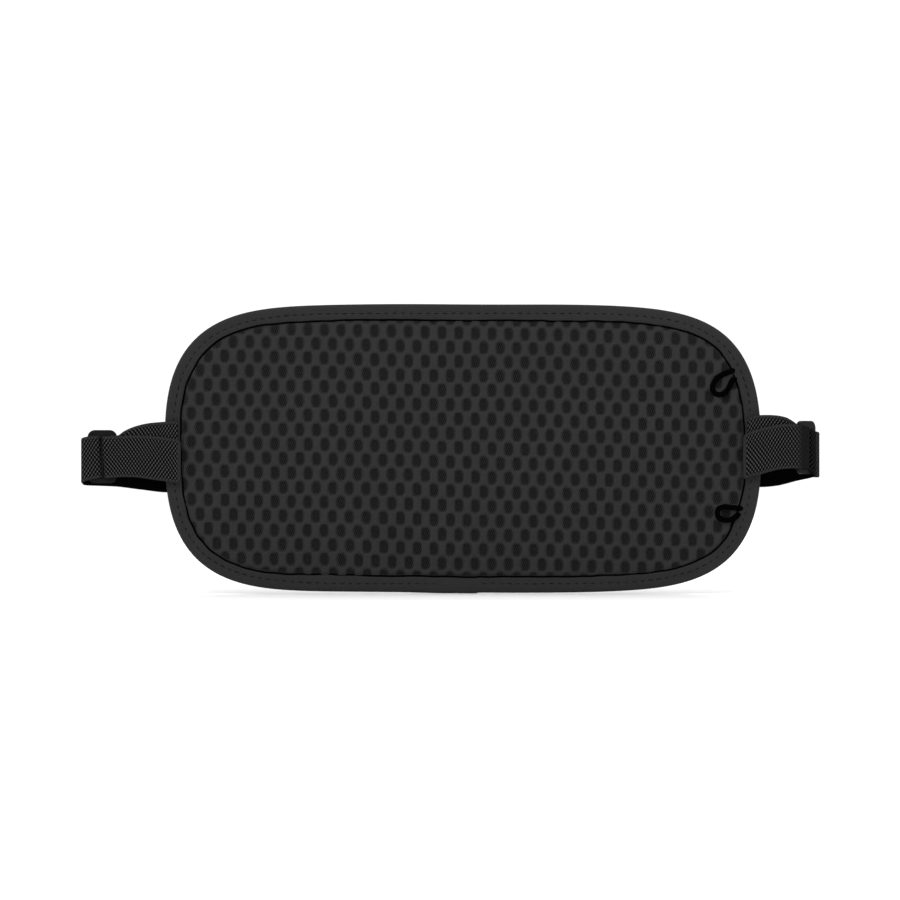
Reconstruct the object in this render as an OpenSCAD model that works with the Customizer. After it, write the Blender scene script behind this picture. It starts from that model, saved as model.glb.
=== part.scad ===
// Money belt: a flat pouch with an air-mesh back, two zipped pockets and an elastic waist strap
// that closes with a side-release buckle. Upright, mesh side towards -Y, origin on the mesh face.

/* [Pouch] */
// Width of the pouch over its edge binding
pouch_w = 270; // [250:1:300]
// Height of the pouch over its edge binding
pouch_h = 130; // [120:1:140]
// Squareness of the outline's short sides
side_power = 5.9; // [5:0.1:8]
// Squareness of the outline's long sides
top_power = 2.7; // [2.4:0.1:4]
// Visible width of the edge binding
binding_w = 6.6; // [5:0.1:8]
// Full thickness of the air mesh
mesh_t = 2.8; // [2.4:0.1:3.5]
// Width of the full-thickness middle of the mesh
mesh_face_w = 214; // [150:1:216]

/* [Zips] */
// Height of the main pocket's zip above the pouch's middle
main_zip_z = 40; // [38:1:42]
// Height of the front pocket's zip above the pouch's middle
front_zip_z = 17; // [16:1:18]
// Length of each zip's closed coil
zip_length = 222; // [180:1:224]
// Length of a slider
slider_length = 9; // [8:0.5:10]
// Length of a zip pull from its pivot
pull_length = 24; // [18:1:26]

/* [Waist strap] */
// Width of the elastic webbing
webbing_w = 20; // [18:0.5:20]
// Thickness of the webbing
webbing_t = 1.1; // [1:0.05:1.1]
// Distance of the left strap adjuster from the pouch's middle
left_adjuster_x = 163.5; // [163:0.5:170]
// Distance of the right strap adjuster from the pouch's middle
right_adjuster_x = 157.8; // [157:0.2:165]
// How far the right adjuster is turned with its outer bar away from the wearer
right_turn = 50; // [40:1:50]
// Width of an adjuster along the strap
adjuster_w = 13.4; // [13.4:0.1:14]
// Height of an adjuster across the strap
adjuster_h = 26; // [25:0.5:28]
// Inner turn of the folded strap, from the pouch's middle
inner_fold_x = 52; // [50:1:60]
// Outer turn of the folded strap, from the pouch's middle
outer_fold_x = 118; // [90:1:120]

/* [Buckle] */
// Thickness of the buckle
buckle_t = 6.6; // [6.6:0.1:7.4]
// Width of the buckle across the strap
buckle_w = 27.2; // [27:0.1:29]

/* [Cord loops] */
// Diameter of the elastic cord
cord_d = 2; // [1.8:0.1:2.2]

/* [Hidden] */

outline_steps = 96;
seam_inset = 1;
binding_t = 0.6;
// Layers from the wearer's side (y = 0) outwards
flange_y = 1.6;
lining_t = 0.3;
divider_y = [3.6, 3.9];
tape_y = [5.1, 5.5];
panel_y = [5.5, 6];
binding_y = [flange_y - binding_t, panel_y[1] + binding_t];

// Zip sections
zip_gap = 5.5;
tape_reach = min(11, (main_zip_z - front_zip_z) / 2 - 0.5);
coil_y = [5.5, 7];
coil_z = [0.6, 2.7];
wing_inner_y = [4.2, 4.8];
wing_outer_y = [7.3, 8.1];
flange_z = [3, 3.7];
slider_flange_y = 6.3;
wing_half_w = 3.9;
bridge_top_y = 10.4;
pivot_y = 9;
pivot_r = 0.5;
slider_x = zip_length / 2 - slider_length / 2 - 3;

// Strap sections: s runs outwards from the adjuster's middle bar
strap_z = -4.2;
adjuster_t = 1.8;
adjuster_y = 0.75;
bar_outer = [4.5, 6.7];
bar_middle = 1.1;
slot_h = 21.4;
slot_corner = 0.3;
seam_x = 129.3;
tail_x = 127.8;
layer_gap = 0.4;
layer_step = webbing_t + layer_gap;
fold_r = layer_step / 2;
run_y = 7.75;
second_run_y = run_y + layer_step;
lead_y = run_y + 2 * layer_step;
fold_steps = 6;

// Buckle sections
buckle_y = lead_y + 1.45;
buckle_bar = [18, 21.5];
bar_t = 1.7;
mouth_x = 5.2;
insert_x = 5.6;
ring_x = 13.5;
cavity_half_w = 11.2;
cavity_t = 4.2;
window_x = [-9.2, -1.6];
prong_pivot = [5, 8.3];
prong_r = 1.2;
prong_t = 3.6;

// Cord routes, from one end under the edge binding round to the other
upper_cord = [
    [125.2, 1.5, 35.6], [122.2, 0.6, 34.7], [119.6, 0, 34.2], [116.6, -0.1, 32.9], [114.2, -0.3, 30.6],
    [113.1, -0.3, 27.8], [114, -0.3, 25.2], [116.4, -0.3, 23.9], [119, -0.2, 24.6],
    [120.9, 0, 26.7], [121.8, 0.2, 29.3], [122.9, 0.7, 31.4],
    [125.6, 1.5, 32.8]
];
lower_cord = [
    [128.4, 1.5, -27.8], [125.4, 0.4, -27.2], [122.4, -0.2, -26.7], [119.3, -0.3, -26.2], [116.6, -0.4, -26.8],
    [115.2, -0.5, -28.9], [116, -0.5, -31.6], [118.6, -0.4, -32.9], [121.3, -0.3, -32.8],
    [123.4, -0.2, -31.7], [125.2, 0.4, -30.6],
    [127.9, 1.5, -30.4]
];
cord_sides = 8;
cord_rings = 3;

function power(v, e) = sign(v) * pow(abs(v), e);
function outline(inset) = [
    for (i = [0:outline_steps - 1])
        let (a = 360 * i / outline_steps)
        [(pouch_w / 2 - inset) * power(cos(a), 2 / side_power),
         (pouch_h / 2 - inset) * power(sin(a), 2 / top_power)]
];

// A flat shape drawn in X and Z, made solid from depth y0 to y1
module slab(y) {
    translate([0, y[1], 0])
        rotate([90, 0, 0])
            linear_extrude(height = y[1] - y[0])
                children();
}

// The pouch's outline between two heights
module outline_band(inset, z0, z1) {
    intersection() {
        polygon(outline(inset));
        translate([-pouch_w, z0])
            square([2 * pouch_w, z1 - z0]);
    }
}

module rounded_box(w, h, r) {
    square([w - 2 * r, h], center = true);
    square([w, h - 2 * r], center = true);
    for (x = [-1, 1], z = [-1, 1])
        translate([x * (w / 2 - r), z * (h / 2 - r)])
            circle(r, $fn = 32);
}

// ---- webbing: a ribbon drawn along its middle line in plan, as wide as the strap
function unit(v) = v / norm(v);
function left_of(v) = [-v[1], v[0]];
function miter(p, i) =
    let (a = i > 0 ? unit(p[i] - p[i - 1]) : unit(p[1] - p[0]),
         b = i < len(p) - 1 ? unit(p[i + 1] - p[i]) : a,
         n = unit(left_of(a) + left_of(b)))
    n / (n * left_of(a));
function ribbon(p, t) = concat(
    [for (i = [0:len(p) - 1]) p[i] + miter(p, i) * t / 2],
    [for (i = [len(p) - 1:-1:0]) p[i] - miter(p, i) * t / 2]
);
// Half turn of a fold: x is its crest's centre, side is +1 for a turn facing outwards
function fold(x, y, side) = [
    for (i = [0:fold_steps])
        let (a = -90 + 180 * i / fold_steps)
        [x + side * fold_r * cos(a), y + fold_r + fold_r * sin(a)]
];
// A point near the adjuster, which turns about its inner bar
function at_adjuster(p, x, turn) =
    let (mid = [-(bar_outer[0] + bar_outer[1]) / 2, adjuster_y], d = p - mid)
    mid + [x, 0] + [d[0] * cos(turn) - d[1] * sin(turn), d[0] * sin(turn) + d[1] * cos(turn)];

module webbing(path) {
    translate([0, 0, strap_z - webbing_w / 2])
        linear_extrude(height = webbing_w)
            polygon(ribbon(path, webbing_t));
}

// The free tail, over and under the adjuster's bars, round its outer bar and away behind the pouch
function strap_start(x, turn) =
    let (ease = 1.1 * sin(turn))
    concat(
        [[tail_x, -1.9]],
        [
            for (p = [
                [-7.6, -1.9 - ease], [-2.9, -1.9], [-2.2, -1.2], [-2.2, 1.7], [-1.6, 2.3], [1.6, 2.3],
                [2.2, 1.7], [2.2, -0.2], [2.8, -0.8], [6.9, -0.8], [8.2, -0.2], [8.95, 1.2],
                [8.6, 2.9], [7.4, 3.9]
            ])
                at_adjuster(p, x, turn)
        ],
        [[x - 6, 4.6 + 7.4 * sin(turn)], [x - 26, run_y]]
    );
function strap_run(x, turn) = concat(
    strap_start(x, turn), fold(inner_fold_x, run_y, -1), fold(outer_fold_x, second_run_y, 1),
    [[outer_fold_x - 1, lead_y]]
);
strap_lead = [
    [outer_fold_x - 1, lead_y], [buckle_bar[0] - 0.2, lead_y], [buckle_bar[0] - 0.6, lead_y + 0.4],
    [buckle_bar[0] - 0.6, lead_y + 2.5], [buckle_bar[0] - 0.2, lead_y + 2.9],
    [buckle_bar[1] + 1, lead_y + 2.9], [buckle_bar[1] + 9, lead_y + 1.2], [buckle_bar[1] + 13, lead_y + 1.2]
];
function tab_path(x, turn) =
    let (ease = 0.44 * sin(turn))
    concat(
        [[seam_x, -0.75]],
        [
            for (p = [
                [-7.3, -0.75 - ease], [-4.4, -0.75], [-3.85, -0.2], [-3.85, 1.7], [-4.4, 2.25], [-7.2, 2.25]
            ])
                at_adjuster(p, x, turn)
        ],
        [[137, 0.4], [seam_x, 0.4]]
    );

// ---- pouch
module back_mesh_panel() {
    color([0.17, 0.17, 0.17]) {
        slab([flange_y, mesh_t])
            polygon(outline(seam_inset));
        slab([0, flange_y])
            intersection() {
                polygon(outline(binding_w + 4));
                square([mesh_face_w, 2 * pouch_h], center = true);
            }
    }
}

module back_lining() {
    color([0.10, 0.10, 0.11])
        slab([mesh_t, mesh_t + lining_t])
            polygon(outline(seam_inset));
}

module pocket_divider() {
    color([0.10, 0.10, 0.11])
        slab(divider_y)
            outline_band(seam_inset, -pouch_h, main_zip_z - zip_gap);
}

module front_panel(z0, z1) {
    color([0.13, 0.13, 0.14])
        slab(panel_y)
            outline_band(seam_inset, z0, z1);
}

module front_panel_top() {
    front_panel(main_zip_z + zip_gap, pouch_h);
}

module front_panel_middle() {
    front_panel(front_zip_z + zip_gap, main_zip_z - zip_gap);
}

module front_panel_lower() {
    front_panel(-pouch_h, front_zip_z - zip_gap);
}

module edge_binding() {
    color([0.19, 0.19, 0.19])
        difference() {
            slab(binding_y)
                polygon(outline(0));
            slab([flange_y, panel_y[1]])
                polygon(outline(seam_inset));
            slab([0, 2 * panel_y[1]])
                polygon(outline(binding_w));
        }
}

// ---- zips: side is +1 for the half above the coil and -1 for the half below
module zip_tape(z, side) {
    edge = z + side * coil_z[0];
    far = z + side * tape_reach;
    color([0.10, 0.10, 0.10])
        slab(tape_y)
            outline_band(seam_inset, min(edge, far), max(edge, far));
}

module zip_coil(z, side) {
    color([0.08, 0.08, 0.08])
        translate([-zip_length / 2, 0, z])
            rotate([90, 0, 90])
                linear_extrude(height = zip_length)
                    polygon([
                        [coil_y[0], side * coil_z[0]], [coil_y[0], side * coil_z[1]],
                        [coil_y[1] - 0.5, side * coil_z[1]], [coil_y[1], side * (coil_z[1] - 0.5)],
                        [coil_y[1], side * (coil_z[0] + 0.3)], [coil_y[1] - 0.3, side * coil_z[0]]
                    ]);
}

module zip_stops(z) {
    color([0.08, 0.08, 0.08])
        for (x = [-1, 1])
            translate([x * (zip_length / 2 + 0.9) - 0.9, coil_y[0], z - coil_z[1]])
                cube([1.8, 1.7, 2 * coil_z[1]]);
}

// Outline of the slider's two wings, with the narrow tail towards -X
module wing_outline(half_w) {
    polygon([
        [-slider_length / 2, -half_w * 0.7], [-slider_length / 6, -half_w], [slider_length / 2 - 1, -half_w],
        [slider_length / 2, -half_w * 0.6], [slider_length / 2, half_w * 0.6],
        [slider_length / 2 - 1, half_w], [-slider_length / 6, half_w], [-slider_length / 2, half_w * 0.7]
    ]);
}

module zip_slider(z) {
    neck = [3, 0.6];
    bridge = [7.4, 1.6];
    window = 4.8;
    color([0.12, 0.12, 0.13])
        translate([slider_x, 0, z])
            difference() {
                union() {
                    slab(wing_outer_y)
                        wing_outline(wing_half_w);
                    slab(wing_inner_y)
                        wing_outline(wing_half_w - 0.4);
                    slab([wing_inner_y[0] + 0.2, wing_outer_y[1] - 0.2])
                        translate([slider_length / 2 - neck[0] / 2 - 0.5, 0])
                            square(neck, center = true);
                    for (side = [-1, 1])
                        slab([slider_flange_y, wing_outer_y[1] - 0.3])
                            translate([slider_length / 6 - 0.5, side * (flange_z[0] + flange_z[1]) / 2])
                                square([slider_length * 2 / 3 - 1, flange_z[1] - flange_z[0]], center = true);
                    slab([wing_outer_y[0] + 0.2, bridge_top_y])
                        square(bridge, center = true);
                }
                slab([wing_outer_y[1], pivot_y + pivot_r + 0.2])
                    square([window, 2 * bridge[1]], center = true);
            }
}

// The pull lies flat towards -X and turns about the pin through the bridge
module zip_pull(z) {
    arm_z = [1.2, 2.4];
    root = 4.3;
    half_w = 3;
    hole_r = 1.4;
    color([0.14, 0.14, 0.15])
        translate([slider_x, 0, z]) {
            translate([0, pivot_y, -arm_z[1]])
                cylinder(r = pivot_r, h = 2 * arm_z[1], $fn = 24);
            for (side = [-1, 1])
                slab([pivot_y - pivot_r, pivot_y + pivot_r])
                    translate([-root / 2 - 0.3, side * (arm_z[0] + arm_z[1]) / 2])
                        square([root + 0.6, arm_z[1] - arm_z[0]], center = true);
            slab([pivot_y - pivot_r, pivot_y + pivot_r])
                difference() {
                    translate([-(root + pull_length) / 2, 0])
                        rounded_box(pull_length - root, 2 * half_w, 1.5);
                    translate([-pull_length + half_w + 0.6, 0])
                        circle(hole_r, $fn = 32);
                }
        }
}

// ---- waist strap, drawn for the right-hand side
module anchor_tab(x, turn) {
    color([0.16, 0.16, 0.16])
        webbing(tab_path(x, turn));
}

module adjuster(x, turn) {
    slot_w = bar_outer[0] - bar_middle;
    inner_bar = (bar_outer[0] + bar_outer[1]) / 2;
    color([0.10, 0.10, 0.10])
        translate([x - inner_bar, adjuster_y, strap_z])
            rotate([0, 0, turn])
                translate([inner_bar, 0, 0])
                    slab([-adjuster_t / 2, adjuster_t / 2])
                        difference() {
                            rounded_box(adjuster_w, adjuster_h, 2.4);
                            for (side = [-1, 1])
                                translate([side * (bar_middle + slot_w / 2), 0])
                                    rounded_box(slot_w, slot_h, slot_corner);
                        }
}

module running_strap(x, turn) {
    color([0.16, 0.16, 0.16])
        webbing(strap_run(x, turn));
}

module strap_to_buckle() {
    color([0.16, 0.16, 0.16])
        webbing(strap_lead);
}

// ---- buckle, in the plane of the strap's last run
module at_buckle() {
    translate([0, buckle_y, strap_z])
        children();
}

// Side rails and cross bar that hold the webbing, towards +X
module strap_ring() {
    rail_t = buckle_t * 0.6;
    rail_w = buckle_w / 2 - slot_h / 2;
    for (side = [-1, 1])
        slab([-rail_t / 2, rail_t / 2])
            translate([(ring_x + buckle_bar[1]) / 2 - 0.5, side * (slot_h + rail_w) / 2])
                square([buckle_bar[1] - ring_x + 1, rail_w], center = true);
    slab([-bar_t / 2, bar_t / 2])
        translate([(buckle_bar[0] + buckle_bar[1]) / 2, 0])
            square([buckle_bar[1] - buckle_bar[0], slot_h + 0.2], center = true);
}

module buckle_receptacle() {
    back_x = -13.5;
    color([0.09, 0.09, 0.09])
        at_buckle()
            difference() {
                union() {
                    slab([-buckle_t / 2, buckle_t / 2])
                        translate([(back_x + mouth_x) / 2, 0])
                            rounded_box(mouth_x - back_x, buckle_w, 2);
                    mirror([1, 0, 0])
                        strap_ring();
                }
                slab([-cavity_t / 2, cavity_t / 2])
                    translate([back_x + 1.5, -cavity_half_w])
                        square([mouth_x - back_x, 2 * cavity_half_w]);
                slab([-cavity_t / 2, cavity_t / 2])
                    translate([window_x[0], -buckle_w])
                        square([window_x[1] - window_x[0], 2 * buckle_w]);
            }
}

module buckle_insert() {
    guide = [13.4, 4.8];
    guide_t = 2.8;
    insert_t = buckle_t - 0.6;
    color([0.09, 0.09, 0.09])
        at_buckle()
            difference() {
                union() {
                    slab([-insert_t / 2, insert_t / 2])
                        translate([(insert_x + ring_x) / 2, 0])
                            rounded_box(ring_x - insert_x, buckle_w - 1, 1.5);
                    slab([-guide_t / 2, guide_t / 2])
                        translate([insert_x - guide[0] / 2 + 0.5, 0])
                            square(guide, center = true);
                    strap_ring();
                }
                for (side = [-1, 1])
                    slab([-prong_t / 2 - 0.2, prong_t / 2 + 0.2])
                        translate([prong_pivot[0], side * prong_pivot[1]])
                            circle(prong_r + 0.1, $fn = 48);
            }
}

// A springy arm with its catch in the receptacle's side window
module prong() {
    slab([-prong_t / 2, prong_t / 2]) {
        translate(prong_pivot)
            circle(prong_r, $fn = 48);
        polygon([
            [5, 9.4], [-1.9, 9.9], [-1.9, 13.2], [-4.4, 13.4], [-8, 11], [-9.6, 9], [-8.6, 7.9], [5, 7.2]
        ]);
    }
}

module buckle_upper_prong() {
    color([0.09, 0.09, 0.09])
        at_buckle()
            prong();
}

module buckle_lower_prong() {
    color([0.09, 0.09, 0.09])
        at_buckle()
            mirror([0, 0, 1])
                prong();
}

module left_strap() {
    mirror([1, 0, 0]) {
        running_strap(left_adjuster_x, 0);
        strap_to_buckle();
    }
}

// ---- elastic cord loops sewn into the right-hand seam
function blend_point(a, b, c, d, u) =
    0.5 * ((2 * b) + (c - a) * u + (2 * a - 5 * b + 4 * c - d) * u * u + (3 * b - a - 3 * c + d) * u * u * u);
function smooth(p, n) = [
    for (i = [0:len(p) - 2], k = [0:n - 1])
        blend_point(p[max(i - 1, 0)], p[i], p[i + 1], p[min(i + 2, len(p) - 1)], k / n),
    p[len(p) - 1]
];
function heading(p, i) = unit(p[min(i + 1, len(p) - 1)] - p[max(i - 1, 0)]);

module cord(route) {
    p = smooth(route, cord_rings);
    points = [
        for (i = [0:len(p) - 1])
            let (t = heading(p, i), side = unit(cross(t, [0, 1, 0])), up = cross(side, t))
            for (k = [0:cord_sides - 1])
                p[i] + cord_d / 2 * (cos(360 * k / cord_sides) * side + sin(360 * k / cord_sides) * up)
    ];
    walls = [
        for (i = [0:len(p) - 2], k = [0:cord_sides - 1])
            let (a = i * cord_sides + k, b = i * cord_sides + (k + 1) % cord_sides)
            [a, b, b + cord_sides, a + cord_sides]
    ];
    first = [for (k = [cord_sides - 1:-1:0]) k];
    last = [for (k = [0:cord_sides - 1]) (len(p) - 1) * cord_sides + k];
    color([0.02, 0.02, 0.02])
        polyhedron(points, concat(walls, [first], [last]), convexity = 6);
}

back_mesh_panel();
back_lining();
pocket_divider();
front_panel_top();
front_panel_middle();
front_panel_lower();
edge_binding();
zip_tape(main_zip_z, 1);  // main_zip_tape_upper
zip_tape(main_zip_z, -1);  // main_zip_tape_lower
zip_coil(main_zip_z, 1);  // main_zip_coil_upper
zip_coil(main_zip_z, -1);  // main_zip_coil_lower
zip_stops(main_zip_z);  // main_zip_stops
zip_slider(main_zip_z);  // main_zip_slider
zip_pull(main_zip_z);  // main_zip_pull
zip_tape(front_zip_z, 1);  // front_zip_tape_upper
zip_tape(front_zip_z, -1);  // front_zip_tape_lower
zip_coil(front_zip_z, 1);  // front_zip_coil_upper
zip_coil(front_zip_z, -1);  // front_zip_coil_lower
zip_stops(front_zip_z);  // front_zip_stops
zip_slider(front_zip_z);  // front_zip_slider
zip_pull(front_zip_z);  // front_zip_pull
mirror([1, 0, 0]) anchor_tab(left_adjuster_x, 0);  // left_anchor_tab
anchor_tab(right_adjuster_x, right_turn);  // right_anchor_tab
mirror([1, 0, 0]) adjuster(left_adjuster_x, 0);  // left_adjuster
adjuster(right_adjuster_x, right_turn);  // right_adjuster
left_strap();
running_strap(right_adjuster_x, right_turn);  // right_strap
strap_to_buckle();  // right_strap_lead
buckle_receptacle();
buckle_insert();
buckle_upper_prong();
buckle_lower_prong();
cord(upper_cord);  // upper_cord_loop
cord(lower_cord);  // lower_cord_loop
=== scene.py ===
import math
import random

import bpy
import numpy as np
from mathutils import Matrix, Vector


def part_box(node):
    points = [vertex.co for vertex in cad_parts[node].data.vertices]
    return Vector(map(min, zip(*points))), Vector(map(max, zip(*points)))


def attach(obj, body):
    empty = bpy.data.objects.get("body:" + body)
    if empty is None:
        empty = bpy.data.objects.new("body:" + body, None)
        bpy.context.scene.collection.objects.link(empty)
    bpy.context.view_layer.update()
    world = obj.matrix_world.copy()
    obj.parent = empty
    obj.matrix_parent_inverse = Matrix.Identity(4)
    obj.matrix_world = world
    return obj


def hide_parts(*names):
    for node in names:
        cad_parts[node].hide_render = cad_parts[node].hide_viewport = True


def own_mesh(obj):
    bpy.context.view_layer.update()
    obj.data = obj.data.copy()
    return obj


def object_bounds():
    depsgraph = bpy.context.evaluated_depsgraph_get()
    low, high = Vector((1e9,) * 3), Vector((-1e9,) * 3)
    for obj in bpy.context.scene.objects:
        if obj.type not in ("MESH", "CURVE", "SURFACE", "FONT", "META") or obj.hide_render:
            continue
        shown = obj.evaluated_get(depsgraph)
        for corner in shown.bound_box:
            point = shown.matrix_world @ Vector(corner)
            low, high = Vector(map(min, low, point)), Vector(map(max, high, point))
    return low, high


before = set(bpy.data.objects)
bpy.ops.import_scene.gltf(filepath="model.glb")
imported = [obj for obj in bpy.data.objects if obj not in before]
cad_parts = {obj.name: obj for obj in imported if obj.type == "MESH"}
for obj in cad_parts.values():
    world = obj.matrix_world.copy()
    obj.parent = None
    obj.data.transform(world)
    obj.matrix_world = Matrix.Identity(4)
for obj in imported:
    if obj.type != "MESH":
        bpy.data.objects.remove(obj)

bl_info = {
    "name": "Money Belt",
    "version": (1, 0, 0),
    "blender": (4, 5, 0),
    "location": "3D View > Sidebar > Money Belt",
    "description": "Builds a zipped waist pouch with an air-mesh back and an elastic strap",
    "category": "Object",
}

MM = 0.001
CAD_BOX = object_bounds()
POUCH = "pouch"


def box_mm(node):
    """A CAD node's lowest and highest corners, in millimetres."""
    low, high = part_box(node)
    return np.array(low) / MM, np.array(high) / MM


BINDING_LOW, BINDING_HIGH = box_mm("edge_binding")
MESH_HIGH = box_mm("back_mesh_panel")[1]
PANEL_HIGH = box_mm("front_panel_lower")[1]
STRAP_LOW, STRAP_HIGH = box_mm("right_anchor_tab")
STRAP_Z = (STRAP_LOW[2] + STRAP_HIGH[2]) / 2
HALF_W = (BINDING_HIGH[0] - BINDING_LOW[0]) / 2
HALF_H = (BINDING_HIGH[2] - BINDING_LOW[2]) / 2
MAIN_ZIP_Z = sum(c[2] for c in box_mm("main_zip_stops")) / 2
FRONT_ZIP_Z = sum(c[2] for c in box_mm("front_zip_stops")) / 2
ZIP_HALF = (box_mm("main_zip_coil_upper")[1] - box_mm("main_zip_coil_upper")[0])[0] / 2


# ---- settings


class PouchSettings(bpy.types.PropertyGroup):
    """Sizes of the pouch, in millimetres"""

    side_power: bpy.props.FloatProperty(
        name="Side squareness", description="Power of the outline's short sides", default=5.9, min=4, max=8
    )
    top_power: bpy.props.FloatProperty(
        name="Top squareness", description="Power of the outline's long sides", default=2.7, min=2.4, max=4
    )
    binding_width: bpy.props.FloatProperty(
        name="Binding width", description="Visible width of the edge binding in mm", default=6.6, min=5, max=8
    )
    hole_pitch_x: bpy.props.FloatProperty(
        name="Hole pitch across", description="Distance between mesh holes in a row in mm", default=7.58
    )
    hole_pitch_z: bpy.props.FloatProperty(
        name="Row pitch", description="Distance between staggered rows of mesh holes in mm", default=6.53
    )
    hole_width: bpy.props.FloatProperty(
        name="Hole width", description="Width of a mesh hole in mm", default=3.9
    )
    hole_height: bpy.props.FloatProperty(
        name="Hole height", description="Height of a mesh hole in mm", default=5.7
    )
    hole_depth: bpy.props.FloatProperty(
        name="Hole depth", description="Depth of a mesh hole in mm", default=1.0
    )
    stitch_pitch: bpy.props.FloatProperty(
        name="Stitch pitch", description="Length of one stitch of the binding seam in mm", default=3.8
    )


class StrapSettings(bpy.types.PropertyGroup):
    """Sizes of the waist strap and cord loops, in millimetres"""

    webbing_thickness: bpy.props.FloatProperty(
        name="Webbing thickness", description="Thickness of the elastic webbing in mm", default=1.1
    )
    half_width: bpy.props.FloatProperty(
        name="Half width",
        description="Half the width of the webbing in mm",
        default=float(STRAP_HIGH[2] - STRAP_LOW[2]) / 2,
    )
    cord_diameter: bpy.props.FloatProperty(
        name="Cord diameter", description="Diameter of the elastic cord in mm", default=2.4
    )


class ColourSettings(bpy.types.PropertyGroup):
    """Linear colours of the belt's materials"""

    mesh: bpy.props.FloatVectorProperty(
        name="Air mesh",
        description="Colour of the mesh's ribs",
        subtype="COLOR",
        default=(0.0213, 0.0213, 0.0213),
    )
    mesh_hole: bpy.props.FloatVectorProperty(
        name="Mesh holes",
        description="Colour inside the mesh's holes",
        subtype="COLOR",
        default=(0.0079, 0.0079, 0.0079),
    )
    binding: bpy.props.FloatVectorProperty(
        name="Binding",
        description="Colour of the edge binding",
        subtype="COLOR",
        default=(0.0167, 0.0167, 0.0167),
    )
    webbing: bpy.props.FloatVectorProperty(
        name="Webbing",
        description="Colour of the webbing's raised yarns",
        subtype="COLOR",
        default=(0.057, 0.057, 0.057),
    )
    webbing_gap: bpy.props.FloatVectorProperty(
        name="Webbing gaps",
        description="Colour between the yarns",
        subtype="COLOR",
        default=(0.0006, 0.0006, 0.0006),
    )
    fabric: bpy.props.FloatVectorProperty(
        name="Face fabric",
        description="Colour of the nylon panels",
        subtype="COLOR",
        default=(0.020, 0.020, 0.021),
    )
    plastic: bpy.props.FloatVectorProperty(
        name="Plastic",
        description="Colour of the buckle and adjusters",
        subtype="COLOR",
        default=(0.0028, 0.0028, 0.0029),
    )
    cord: bpy.props.FloatVectorProperty(
        name="Cord",
        description="Colour of the elastic cord",
        subtype="COLOR",
        default=(0.0006, 0.0006, 0.0006),
    )
    floor: bpy.props.FloatVectorProperty(
        name="Floor",
        description="Colour of the studio floor",
        subtype="COLOR",
        default=(0.95, 0.95, 0.95),
    )


# ---- shader building


class Value:
    """A shader value. Arithmetic on it adds Math nodes."""

    def __init__(self, shader, socket):
        self.shader = shader
        self.socket = socket

    def math(self, operation, *others):
        return self.shader.add("ShaderNodeMath", {"operation": operation}, self, *others)

    def __add__(self, other):
        return self.math("ADD", other)

    __radd__ = __add__

    def __mul__(self, other):
        return self.math("MULTIPLY", other)

    __rmul__ = __mul__

    def __sub__(self, other):
        return self.math("SUBTRACT", other)

    def __rsub__(self, other):
        return self.shader.add("ShaderNodeMath", {"operation": "SUBTRACT"}, other, self)

    def __truediv__(self, other):
        return self.math("DIVIDE", other)

    def __rtruediv__(self, other):
        return self.shader.add("ShaderNodeMath", {"operation": "DIVIDE"}, other, self)

    def __neg__(self):
        return self.math("MULTIPLY", -1.0)

    def sine(self):
        return self.math("SINE")

    def smooth(self, low, high):
        """0 below low and 1 above high, with a smooth step between."""
        return self.shader.add(
            "ShaderNodeMapRange", {"interpolation_type": "SMOOTHSTEP"}, self, low, high, 0.0, 1.0
        )


class Shader:
    """A node material with one Principled BSDF."""

    def __init__(self, name, roughness, specular=0.5, sheen=0.0):
        self.material = bpy.data.materials.new(name)
        self.material.use_nodes = True
        self.tree = self.material.node_tree
        self.surface = self.tree.nodes["Principled BSDF"]
        self.surface.inputs["Roughness"].default_value = roughness
        self.surface.inputs["Specular IOR Level"].default_value = specular
        self.surface.inputs["Sheen Weight"].default_value = sheen
        self.surface.inputs["Sheen Roughness"].default_value = 0.6

    def add(self, kind, settings, *values, output=0, **named):
        """Adds one node: its settings first, then the values or links of its sockets."""
        node = self.tree.nodes.new(kind)
        for key, value in settings.items():
            setattr(node, key, value)
        for key, value in list(enumerate(values)) + list(named.items()):
            if value is None:
                continue
            target = node.inputs[key]
            if isinstance(value, Value):
                self.tree.links.new(value.socket, target)
            else:
                target.default_value = value
        return Value(self, node.outputs[output])

    def link(self, name, value):
        self.tree.links.new(value.socket, self.surface.inputs[name])

    def place(self):
        """The point in the frame, in millimetres, as x, y and z."""
        coordinates = self.add("ShaderNodeTexCoord", {}, output="Object")
        scaled = self.add("ShaderNodeVectorMath", {"operation": "SCALE"}, coordinates, Scale=1 / MM)
        return self.split(scaled)

    def weave(self):
        """The weave attribute: millimetres along, millimetres across, and the smooth-edge mask."""
        return self.split(self.add("ShaderNodeAttribute", {"attribute_name": "weave"}, output="Vector"))

    def split(self, vector):
        first = self.add("ShaderNodeSeparateXYZ", {}, vector)
        return [Value(self, socket) for socket in first.socket.node.outputs]

    def noise(self, scale, detail=2.0, roughness=0.5):
        coordinates = self.add("ShaderNodeTexCoord", {}, output="Object")
        return self.add(
            "ShaderNodeTexNoise", {}, coordinates, Scale=scale, Detail=detail, Roughness=roughness
        )

    def mix(self, factor, first, second):
        """A colour between two colours, which take the node's seventh and eighth inputs."""
        skipped = [None] * 5
        return self.add("ShaderNodeMix", {"data_type": "RGBA"}, factor, *skipped, first, second, output=2)

    def scale_colour(self, colour, amount):
        return self.add("ShaderNodeVectorMath", {"operation": "SCALE"}, colour, Scale=amount)

    def bump(self, height, distance, strength=1.0):
        normal = self.add("ShaderNodeBump", {}, Strength=strength, Distance=distance * MM, Height=height)
        self.link("Normal", normal)


def tint(colour, gain=1.0):
    """A colour setting made lighter or darker, as three numbers."""
    return tuple(c * gain for c in colour)


def solid(colour, gain=1.0):
    """The same with full opacity, as a colour socket takes it."""
    return tint(colour, gain) + (1.0,)


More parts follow.
